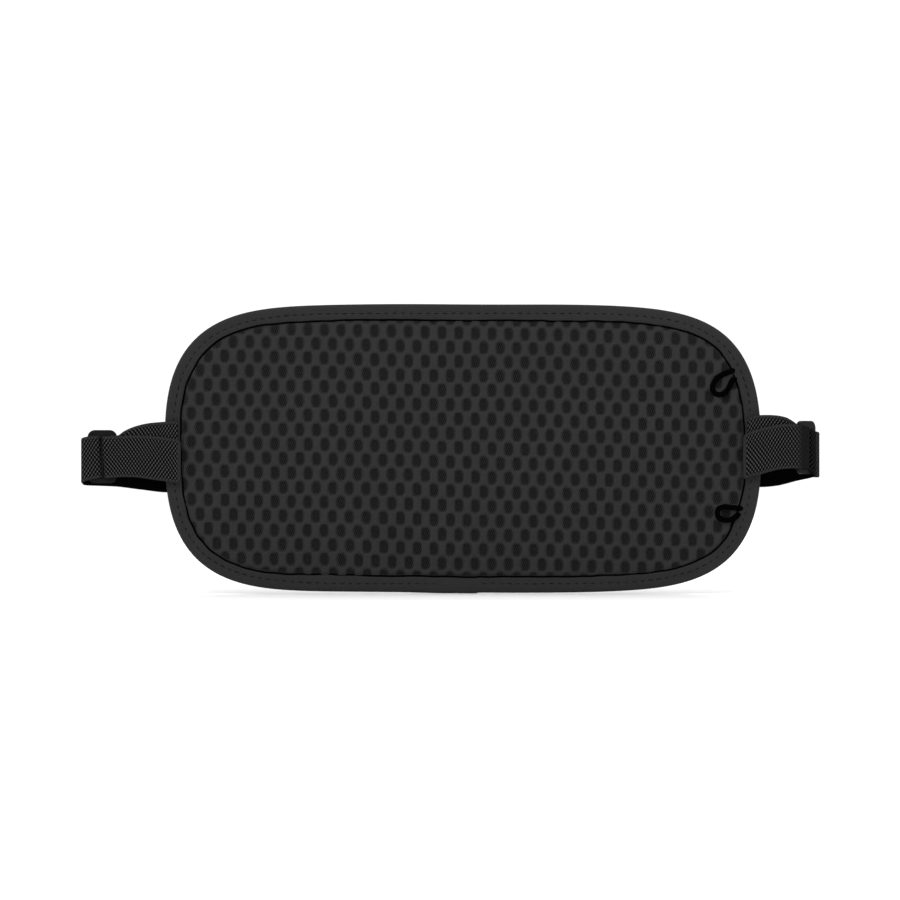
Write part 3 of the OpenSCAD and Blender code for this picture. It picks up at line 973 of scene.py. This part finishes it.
class BELT_OT_zips(bpy.types.Operator):
    """Builds both zips: woven tapes, coil teeth, end stops, sliders and pulls"""

    bl_idname = "belt.zips"
    bl_label = "Zips"

    def tape(self, name, z, side, node):
        low, high = box_mm(node)
        x = np.arange(low[0] + 6, high[0] - 6, 1.2)
        across = np.linspace(0.35, 11, 14)
        gx, gz = np.meshgrid(x, across)
        depth = pouch_outline().depth(gx, z + side * gz)
        face = low[1] + 0.22 + 0.14 * np.exp(-((gz - 3.4) ** 2)) + 0.03 * wobble(gx, gz, 51)
        face = face - 0.9 * (1 - smoothstep(depth, 5, 12))
        back = face - 0.3
        if side < 0:
            gx, gz, face, back, depth = (a[::-1] for a in (gx, gz, face, back, depth))
        obj = closed_panel(name, gx, z + side * gz, back, face, depth > 3.5, "zip_tape")
        finish_piece(obj, POUCH, "zip_tape", node)

    def coil(self, name, z, side, node):
        """One continuous nylon coil: each turn is a flattened loop that ends in a bulge at the middle."""
        low, high = box_mm(node)
        pitch, radius, sides = 1.28, 0.32, 6
        turns = int((high[0] - low[0]) / pitch) - 1
        per = 10
        start_x = low[0] + pitch / 2 + (pitch / 2 if side < 0 else 0)
        t = np.arange(turns * per + 1) / per
        angle = t * math.tau
        mid_z, reach = 1.55, 1.25
        cz = mid_z - reach * np.cos(angle)
        cy = (low[1] + high[1]) / 2 + 0.5 * np.sin(angle)
        cx = start_x + t * pitch
        path = np.stack([cx, cy, z + side * np.maximum(cz, 0.05)], 1)
        obj = tube(name, path, radius, sides, "zip_coil")
        finish_piece(obj, POUCH, "zip_coil", node)

    def execute(self, context):
        for zip_name, z in (("main", MAIN_ZIP_Z), ("front", FRONT_ZIP_Z)):
            for half, side in (("upper", 1), ("lower", -1)):
                self.tape(f"{zip_name}_tape_{half}", z, side, f"{zip_name}_zip_tape_{half}")
                self.coil(f"{zip_name}_coil_{half}", z, side, f"{zip_name}_zip_coil_{half}")
            stops = f"{zip_name}_zip_stops"
            copy_of(stops, f"{zip_name}_stops", "zip_coil", 0.4, POUCH, "zip_coil")
            for kind, edge in (("slider", 0.22), ("pull", 0.28)):
                body = f"{zip_name}_{kind}"
                copy_of(f"{zip_name}_zip_{kind}", body, "zip_metal", edge, body, "zip_metal")
        return {"FINISHED"}


def tube(name, path, radius, sides, finish, **attributes):
    """A closed round tube along a path in millimetres."""
    path = np.asarray(path, float)
    tangent = np.gradient(path, axis=0)
    tangent /= np.linalg.norm(tangent, axis=1)[:, None]
    side = np.cross(tangent, np.array([0.0, 1.0, 0.0]))
    weak = np.linalg.norm(side, axis=1) < 1e-3
    side[weak] = np.array([0.0, 0.0, 1.0])
    side /= np.linalg.norm(side, axis=1)[:, None]
    up = np.cross(side, tangent)
    angle = np.linspace(0, math.tau, sides, endpoint=False)
    ring = np.cos(angle)[None, :, None] * side[:, None] + np.sin(angle)[None, :, None] * up[:, None]
    points = path[:, None] + np.broadcast_to(radius, len(path))[:, None, None] * ring
    faces = grid_faces(len(path), sides, False, True).tolist()
    faces.append(list(range(sides))[::-1])
    faces.append([(len(path) - 1) * sides + i for i in range(sides)])
    return add_mesh(name, points.reshape(-1, 3), faces, finish, **attributes)


# ---- webbing


def webbing(name, stations, side=1, step=0.7, columns=34, hem=0.0, smooth_run=None, slant=0.0):
    """A strap through stations of outward distance, depth, height of its middle, and half width.

    All are in millimetres and side is the side of the pouch that it is on. hem is the length of
    its smooth, doubled free end. smooth_run holds the outward distances that its weave fades between,
    and slant is how far its upper edge leads its lower edge through the adjuster."""
    strap = bpy.context.scene.belt_strap
    line = flow(stations, step)
    plan = line[:, :2]
    tangent = np.gradient(plan, axis=0)
    for _ in range(2):
        tangent[1:-1] = (tangent[:-2] + 2 * tangent[1:-1] + tangent[2:]) / 4
    tangent /= np.linalg.norm(tangent, axis=1)[:, None]
    normal = np.stack([tangent[:, 1], -tangent[:, 0]], 1)
    run = np.insert(np.cumsum(np.linalg.norm(np.diff(plan, axis=0), axis=1)), 0, 0)
    w = np.sin(np.linspace(-1, 1, columns) * math.pi / 2) * 0.35 + np.linspace(-1, 1, columns) * 0.65
    half = strap.webbing_thickness / 2
    edge_round = np.sqrt(np.clip(1.02 - np.abs(w) ** 24, 0.12, 1))
    plump = half * (0.90 + 0.14 * smoothstep(np.abs(w), 0.86, 0.93)) * edge_round
    doubled, plain = np.ones(len(line)), np.zeros(len(line))
    if hem:
        doubled += 0.45 * (1 - smoothstep(run, hem * 0.8, hem * 1.3))
        plain = 1 - smoothstep(run, hem * 0.75, hem * 1.0)
    if smooth_run:
        turned = smoothstep(plan[:, 0], *smooth_run)
        fade = turned * (1 - smoothstep(plan[:, 0], 157.6, 158.4)) * (normal[:, 1] < 0)
        plain = np.maximum(plain, 0.85 * fade)
    end = np.clip(np.minimum(run, run[-1] - run), 0, 1.5)
    trim = (1.5 - np.sqrt(1.5**2 - (1.5 - end) ** 2)) * (1.0 if hem else 0.2)
    inner = smoothstep(plan[:, 0], 121, 126)
    lead = slant * smoothstep(plan[:, 0], 150, 160) * (1 - smoothstep(plan[:, 0], 166, 171))
    points, weave, shade = [], [], []
    for face, order in ((1, slice(None)), (-1, slice(None, None, -1))):
        for share, thick in zip(w[order], plump[order]):
            push = face * thick * doubled
            x = plan[:, 0] + normal[:, 0] * push + lead * share
            y = plan[:, 1] + normal[:, 1] * push
            z = line[:, 2] + (line[:, 3] - trim) * share
            points.append(np.stack([side * x, y, z], 1))
            selvedge = smoothstep(np.array(abs(share)), 0.88, 0.93)
            across = share * strap.half_width * np.ones(len(run))
            weave.append(np.stack([run, across, np.maximum(plain, selvedge)], 1))
            # Painted shade: from about 121 mm outwards, the strap's second face is darkened for the shade
            # inside its loop at the pouch's side.
            shade.append(inner * (face < 0) * np.ones(len(run)))
            if smooth_run:
                # Painted shade: the stretch under the adjuster's bars, then the wrap beyond them, are
                # darkened in colour where they lie in their own shadow.
                facing = 0.66 * turned * (face > 0) * (plan[:, 1] < 6)
                beyond = 0.72 * smoothstep(plan[:, 0], 157.6, 158.4) * (plan[:, 1] < 8)
                shade[-1] = np.maximum.reduce([shade[-1], facing, beyond])
    loop = len(points)
    faces = grid_faces(len(run), loop, False, True).tolist()
    faces.append(list(range(loop))[::-1])
    faces.append([(len(run) - 1) * loop + i for i in range(loop)])
    if side < 0:
        faces = [f[::-1] for f in faces]
    return add_mesh(
        name, np.stack(points, 1).reshape(-1, 3), faces, "webbing",
        weave=np.stack(weave, 1).reshape(-1, 3), shade=np.stack(shade, 1).ravel(),
    )


class Adjuster:
    """Where one three-bar adjuster sits, and how far it is turned about its inner bar."""

    inner_bar = 5.6
    thickness = 1.8
    depth = 0.75

    def __init__(self, middle, turn, side, height):
        self.middle = middle
        self.turn = math.radians(turn)
        self.side = side
        self.height = height

    def at(self, s, y):
        """A point near the adjuster, given outwards from its middle bar, in strap coordinates."""
        dx, dy = s + self.inner_bar, y - self.depth
        c, n = math.cos(self.turn), math.sin(self.turn)
        return self.middle - self.inner_bar + dx * c - dy * n, self.depth + dx * n + dy * c


def adjuster_of(name, side):
    low, high = box_mm(f"{name}_adjuster")
    wide, deep = high[0] - low[0], high[1] - low[1]
    reach = max(abs(low[0]), abs(high[0]))
    if deep < 2.5:
        return Adjuster(reach - wide / 2, 0.0, side, -3.7)
    turn = 50.0
    c, n = math.cos(math.radians(turn)), math.sin(math.radians(turn))
    outer = (6.7 + Adjuster.inner_bar) * c + Adjuster.thickness / 2 * n
    return Adjuster(reach - outer + Adjuster.inner_bar + 0.4, turn, side, 0.5)


class BELT_OT_waist_strap(bpy.types.Operator):
    """Builds the anchor tabs, the running straps folded behind the pouch, and the adjusters"""

    bl_idname = "belt.waist_strap"
    bl_label = "Waist strap"

    out, inner, run_y, pitch = 118.0, 52.0, 7.75, 1.5

    def tab(self, name, adjuster, seam, front, bar, node):
        """The tab sewn into the side seam, round the adjuster's inner bar and back."""
        ease = 0.44 * math.sin(adjuster.turn)
        near = [(-7.3, -0.75 - ease), (-4.5, -0.72), (-3.85, 0.2), (-3.85, 1.3), (-4.5, 2.22), (-7.2, 2.3)]
        stations = [(129.3, -0.75, *seam), *front]
        stations += [(*adjuster.at(*p), *bar) for p in near]
        stations += [(x, y + 1.3, m, h) for x, y, m, h in reversed(front)]
        stations += [(129.3, 0.45, *seam)]
        finish_piece(webbing(name, stations, adjuster.side), POUCH, "webbing", node)

    def strap(self, name, adjuster, tail, wrap, away, node, **weave):
        """The free tail, through the adjuster, round its outer bar, and the folded run behind."""
        through = [
            (-1.9, -1.95), (-1.2, -1.3), (-1.12, 0.2), (-1.1, 1.4), (-0.7, 2.1), (0.7, 2.1), (1.1, 1.4),
            (1.15, 0.0), (1.75, -0.75), (4.8, -0.9), (7.4, -0.85), (8.6, -0.3), (9.2, 1.2),
            (8.8, 2.9), (7.4, 3.9),
        ]
        stations = list(tail)
        stations += [(*adjuster.at(s, y), *size) for (s, y), size in zip(through, wrap)]
        stations += list(away)
        finish_piece(webbing(name, stations, adjuster.side, hem=1.6, **weave), POUCH, "webbing", node)

    def execute(self, context):
        z = STRAP_Z
        left, right = adjuster_of("left", -1), adjuster_of("right", 1)
        self.tab(
            "left_tab", left, seam=(2.5, 10),
            front=[
                (136, -0.75, 2.1, 10), (143, -0.75, 1.5, 9.9),
                (149, -0.75, 0.0, 9.9), (153.5, -0.75, -1.9, 9.8),
            ],
            bar=(-3.5, 9.5), node="left_anchor_tab",
        )
        self.tab(
            "right_tab", right, seam=(3.7, 10),
            front=[(133, -0.9, 5.0, 10), (140, -1.2, 5.2, 10), (145, -1.2, 4.6, 10), (148.5, -0.9, 3.4, 9.9)],
            bar=(0.6, 9.6), node="right_anchor_tab",
        )
        self.strap(
            "left_strap_webbing", left,
            tail=[
                (127.7, -1.9, -6.0, 9.8), (131, -1.9, -5.5, 9.9), (140, -1.95, -4.3, 9.9),
                (148, -2.0, -3.6, 9.5), (156, -2.0, -3.7, 9.3),
            ],
            wrap=[
                *[(-4.0, 9.5)] * 7, (-3.8, 9.5), (-3.8, 9.5), (-4.2, 9.8),
                (-4.7, 10), (-5.2, 10.1), (-5.5, 10.1),
            ]
            + [(-6.2, 10), (-6.8, 10)],
            away=self.behind([(157.5, 4.7, -7.4, 10), (146, 6.3, -8.8, 10), (135, 7.3, -10, 10)], whole=True),
            node="left_strap", slant=0.55,
        )
        self.strap(
            "right_strap_webbing", right,
            tail=[
                (127.2, -1.9, -4.1, 10.2), (131, -2.0, -2.5, 10.3), (135, -2.2, -1.4, 10.4),
                (141.8, -2.8, 0.4, 10.2), (147, -3.0, 1.0, 10.1), (152.6, -2.7, 0.9, 9.9),
            ],
            wrap=[(0.4, 9.7)] * 7 + [(-0.6, 9.6)] * 2 + [(-2.2, 10.2), (-2.7, 10.3), (-2.9, 10.3), (-3, 10.2)]
            + [(-3.2, 10), (-3.6, 10)],
            away=self.behind(
                [(152.5, 10.0, -4.8, 10), (144, 8.9, -6.9, 10), (135, 8.2, -7.6, 10)], whole=False
            ),
            node="right_strap", smooth_run=(150.5, 154.5),
        )
        self.lead(z, self.run_y + 2 * self.pitch)
        for name, adjuster in (("left", left), ("right", right)):
            self.adjuster(name, adjuster)
        return {"FINISHED"}

    def behind(self, drop, whole):
        """The strap after its drop behind the pouch, folded flat; whole runs on to the buckle."""
        z, run, pitch, out, inner = STRAP_Z, self.run_y, self.pitch, self.out, self.inner
        bend = pitch / 2
        path = list(drop) + [(126, run, drop[-1][2] + 1.2, 10), (112, run, z - 3.4, 10)]
        path += [(90, run, z - 2.9, 10), (58, run, z - 2.4, 10), (53.5, run, z - 2.2, 10)]
        path += [(inner + 0.15, run + bend * 0.5, z - 2.0, 10), (inner + 0.15, run + bend * 1.5, z - 2.0, 10)]
        second = run + pitch
        path += [(53.5, second, z - 1.9, 10), (85, second, z - 1.4, 10), (113, second, z - 1.0, 10)]
        path += [(116.8, run + pitch, z - 0.9, 10), (out - 0.1, run + pitch + bend * 0.5, z - 0.8, 10)]
        path += [(out - 0.1, run + pitch + bend * 1.5, z - 0.8, 10), (116.8, run + 2 * pitch, z - 0.7, 10)]
        if whole:
            path += self.to_buckle(run + 2 * pitch)[1:]
        return path

    def to_buckle(self, y):
        z = STRAP_Z
        return [
            (116.8, y, z - 0.7, 10), (110, y, z - 0.6, 10), (70, y, z - 0.2, 10), (40, y, z, 10),
            *self.loop(y),
        ]

    def loop(self, y):
        z = STRAP_Z
        return [
            (33, y, z, 10), (24, y, z, 10), (19.2, y, z, 10), (17.6, y + 0.35, z, 10),
            (17.35, y + 1.4, z, 10), (17.6, y + 2.6, z, 10), (19.2, y + 2.95, z, 10), (22.5, y + 2.8, z, 10),
            (27, y + 1.6, z, 10), (31, y + 1.15, z, 10), (36, y + 1.15, z, 10),
        ]

    def lead(self, z, y):
        """The right strap's last run: elastic between the fold and the buckle's insert."""
        path = self.to_buckle(y)[:4] + [(33, y, z, 10), (26, y, z, 10)]
        stretch = webbing("right_strap_lead_webbing", path)
        finish_piece(stretch, POUCH, "webbing", "right_strap_lead")
        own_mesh(stretch)
        end = webbing("right_strap_end_webbing", [(30.5, y, z, 10)] + self.loop(y)[1:])
        finish_piece(end, "insert", "webbing")

    def adjuster(self, name, adjuster):
        """A three-bar slide with rounded rails."""
        outer = rounded_loop(6.7, 12.1, 3.4, 7)
        slots = [rounded_loop(1.95, 9.1, 0.8, 3, centre=(side * 2.55, -0.7)) for side in (-1, 1)]
        obj = plate(f"{name}_adjuster_plate", outer, slots, adjuster.thickness, "moulded_plastic")
        c, n = math.cos(adjuster.turn), math.sin(adjuster.turn)
        co = np.array([v.co for v in obj.data.vertices]) / MM
        sunk = (np.abs(co[:, 0]) < 1.5) & (np.abs(co[:, 2]) < 10) & (co[:, 1] < 0)
        s, y = co[:, 0] + adjuster.inner_bar, co[:, 1] + 0.6 * sunk
        x = adjuster.middle - adjuster.inner_bar + s * c - y * n
        y = adjuster.depth + s * n + y * c
        placed = np.stack([adjuster.side * x, y, co[:, 2] + adjuster.height], 1) * MM
        obj.data.vertices.foreach_set("co", placed.ravel())
        if adjuster.side < 0:
            obj.data.flip_normals()
        bevelled(obj, 0.55, 3)
        finish_piece(obj, POUCH, "moulded_plastic", f"{name}_adjuster")


def rounded_loop(half_w, half_h, radius, steps, centre=(0, 0)):
    """Points round a rectangle with rounded corners."""
    points = []
    for sx, sz, start in ((1, 1, 0), (-1, 1, 90), (-1, -1, 180), (1, -1, 270)):
        for i in range(steps + 1):
            a = math.radians(start + 90 * i / steps)
            points.append(
                (
                    centre[0] + sx * (half_w - radius) + radius * math.cos(a),
                    centre[1] + sz * (half_h - radius) + radius * math.sin(a),
                )
            )
    return points


def plate(name, outer, holes, thickness, finish):
    """A flat plate in X and Z with holes, made from a filled curve so that it stays closed."""
    curve = bpy.data.curves.new(name, "CURVE")
    curve.dimensions = "2D"
    curve.fill_mode = "BOTH"
    curve.extrude = thickness / 2 * MM
    for loop in [outer] + holes:
        spline = curve.splines.new("POLY")
        spline.points.add(len(loop) - 1)
        for point, (x, z) in zip(spline.points, loop):
            point.co = (x * MM, z * MM, 0, 1)
        spline.use_cyclic_u = True
    source = bpy.data.objects.new(name + "_outline", curve)
    bpy.context.scene.collection.objects.link(source)
    evaluated = source.evaluated_get(bpy.context.evaluated_depsgraph_get())
    mesh = bpy.data.meshes.new_from_object(evaluated)
    bpy.data.objects.remove(source)
    co = np.array([v.co for v in mesh.vertices])
    turned = np.stack([co[:, 0], -co[:, 2], co[:, 1]], 1)
    mesh.vertices.foreach_set("co", turned.ravel())
    mesh.materials.clear()
    mesh.materials.append(material(finish))
    obj = bpy.data.objects.new(name, mesh)
    bpy.context.scene.collection.objects.link(obj)
    weld = obj.modifiers.new("weld", "WELD")
    weld.merge_threshold = 0.00001
    evaluated = obj.evaluated_get(bpy.context.evaluated_depsgraph_get())
    welded = bpy.data.meshes.new_from_object(evaluated)
    obj.modifiers.clear()
    obj.data = welded
    return obj


class BELT_OT_buckle(bpy.types.Operator):
    """Builds the side-release buckle's receptacle, insert and prongs with moulded edges"""

    bl_idname = "belt.buckle"
    bl_label = "Buckle"

    def execute(self, context):
        for node, body, edge in (
            ("buckle_receptacle", POUCH, 0.7),
            ("buckle_insert", "insert", 0.5),
            ("buckle_upper_prong", "upper_prong", 0.35),
            ("buckle_lower_prong", "lower_prong", 0.35),
        ):
            copy_of(node, node + "_moulding", "moulded_plastic", edge, body, "moulded_plastic")
        self.grips("buckle_receptacle_grips", "buckle_receptacle", POUCH, (0.30, 0.40, 0.50), 0.62)
        self.grips("buckle_insert_grips", "buckle_insert", "insert", (0.66, 0.74), 0.50)
        return {"FINISHED"}

    def grips(self, name, node, body, places, share):
        """Low rounded ribs across the outer face, each at a share of the way along the piece."""
        low, high = box_mm(node)
        face = frame_top(node, places)
        half = share * (high[2] - low[2]) / 2
        middle = (low[2] + high[2]) / 2
        ribs = []
        for place in places:
            x = low[0] + place * (high[0] - low[0])
            z = np.linspace(-half, half, 15)
            path = np.stack([0 * z + x, 0 * z + face - 0.12, z + middle], 1)
            thick = 0.42 * np.sqrt(np.clip(1 - (np.abs(z) / half) ** 8, 0.02, 1))
            ribs.append(tube(f"{name}_{len(ribs) + 1}", path, thick, 10, "moulded_plastic"))
        for rib in ribs:
            finish_piece(rib, body, "moulded_plastic")


def frame_top(node, places):
    """The outermost depth of a CAD node's flat face at shares of the way along it."""
    low, high = box_mm(node)
    co = np.array([v.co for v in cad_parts[node].data.vertices]) / MM
    x = low[0] + (high[0] - low[0]) * np.array(places)
    near = (co[:, 0] > x.min() - 9) & (co[:, 0] < x.max() + 9)
    return float(co[near, 1].max())


class BELT_OT_cord_loops(bpy.types.Operator):
    """Builds the two elastic cord loops sewn into the right-hand seam"""

    bl_idname = "belt.cord_loops"
    bl_label = "Cord loops"

    upper = [
        (125.6, 2.5, 37.2), (123.6, 2.0, 35.8), (121.6, 0.8, 34.9), (119.4, 0.1, 34.1), (116.6, -0.1, 32.7),
        (114.4, -0.3, 30.4), (113.4, -0.3, 27.8), (114.2, -0.3, 25.4), (116.5, -0.3, 24.4),
        (119, -0.2, 25.1), (120.8, 0, 27.4), (121.8, 0.3, 29.6), (123.2, 1.0, 31.2), (125.8, 2.5, 32.4),
    ]
    lower = [
        (129.6, 2.6, -27.4), (126.6, 1.6, -27.2), (124.2, 0.4, -27.0), (121.4, -0.1, -26.7),
        (118.6, -0.3, -26.5),
        (116.2, -0.4, -27.5), (115.6, -0.4, -29.6), (116.6, -0.4, -31.6), (118.9, -0.4, -32.5),
        (121.6, -0.2, -32.3), (123.8, 0.4, -31.2), (125.6, 1.5, -30.0), (128.2, 2.6, -29.4),
    ]

    def execute(self, context):
        diameter = context.scene.belt_strap.cord_diameter
        for name, route in (("upper_cord", self.upper), ("lower_cord", self.lower)):
            path = flow(route, 0.35)
            run = np.arange(len(path)) * 0.35
            end = np.minimum(run, run[-1] - run)
            crush = 0.45 + 0.55 * smoothstep(end, 0.8, 3.6)
            obj = tube(name, path, diameter / 2 * crush, 16, "elastic_cord")
            finish_piece(obj, POUCH, "elastic_cord", f"{name}_loop")
        return {"FINISHED"}


class BELT_OT_inner_layers(bpy.types.Operator):
    """Gives the CAD lining and divider, which stay as they are, their woven finish"""

    bl_idname = "belt.inner_layers"
    bl_label = "Inner layers"

    def execute(self, context):
        for node in ("back_lining", "pocket_divider"):
            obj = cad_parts[node]
            obj.data.materials.clear()
            obj.data.materials.append(material("lining"))
        return {"FINISHED"}


# ---- stage


class BELT_OT_stage(bpy.types.Operator):
    """Adds the pale floor, the soft studio light and the camera"""

    bl_idname = "belt.stage"
    bl_label = "Stage"

    def execute(self, context):
        scene = context.scene
        self.camera(scene)
        size = 6000
        low = CAD_BOX[0][2] / MM - 1.2
        corners = [(-size, -size, low), (size, -size, low), (size, size, low), (-size, size, low)]
        floor = add_mesh("floor", corners, [(0, 1, 2, 3)], "studio_floor", smooth=False)
        world = bpy.data.worlds.new("studio")
        scene.world = world
        world.use_nodes = True
        world.node_tree.nodes["Background"].inputs["Color"].default_value = (1, 1, 1, 1)
        world.node_tree.nodes["Background"].inputs["Strength"].default_value = 1.08
        self.light("key", (-0.35, -1.5, 1.3), 1.2, 16)
        self.light("back", (0.5, 1.4, 1.0), 1.2, 9)
        scene.view_settings.view_transform = "Standard"
        return {"FINISHED"}

    def camera(self, scene):
        lens, sensor, frame_width = 150.0, 36.0, 0.4084
        distance = frame_width * lens / sensor
        data = bpy.data.cameras.new("camera")
        data.lens = lens
        data.sensor_width = sensor
        data.clip_end = 100
        camera = bpy.data.objects.new("camera", data)
        camera.location = (-0.00567, -distance, -0.00068)
        camera.rotation_euler = (math.radians(90), 0, 0)
        scene.collection.objects.link(camera)
        scene.camera = camera

    def light(self, name, place, size, power):
        data = bpy.data.lights.new(name, "AREA")
        data.shape = "DISK"
        data.size = size
        data.energy = power
        light = bpy.data.objects.new(name, data)
        light.location = place
        light.rotation_euler = (Vector((0, 0, 0)) - Vector(place)).to_track_quat("-Z", "Y").to_euler()
        bpy.context.scene.collection.objects.link(light)


OPERATORS = [
    BELT_OT_stage, BELT_OT_cord_loops, BELT_OT_air_mesh, BELT_OT_edge_binding, BELT_OT_front_panels,
    BELT_OT_zips, BELT_OT_waist_strap, BELT_OT_buckle, BELT_OT_inner_layers,
]
SETTINGS = {"belt_pouch": PouchSettings, "belt_strap": StrapSettings, "belt_colours": ColourSettings}


class BELT_PT_panel(bpy.types.Panel):
    """Lists the belt's settings and its pieces"""

    bl_idname = "BELT_PT_panel"
    bl_label = "Money Belt"
    bl_space_type = "VIEW_3D"
    bl_region_type = "UI"
    bl_category = "Money Belt"

    def draw(self, context):
        for group in SETTINGS:
            settings = getattr(context.scene, group)
            for key in settings.bl_rna.properties.keys():
                if key not in ("rna_type", "name"):
                    self.layout.prop(settings, key)
        for operator in OPERATORS:
            self.layout.operator(operator.bl_idname)


def register():
    for kind in [*SETTINGS.values(), *OPERATORS, BELT_PT_panel]:
        bpy.utils.register_class(kind)
    for name, kind in SETTINGS.items():
        setattr(bpy.types.Scene, name, bpy.props.PointerProperty(type=kind))


def unregister():
    for name in SETTINGS:
        delattr(bpy.types.Scene, name)
    for kind in [BELT_PT_panel, *OPERATORS, *SETTINGS.values()]:
        bpy.utils.unregister_class(kind)


def main():
    register()
    for operator in OPERATORS:
        group, name = operator.bl_idname.split(".")
        getattr(getattr(bpy.ops, group), name)()


if __name__ == "__main__":
    main()
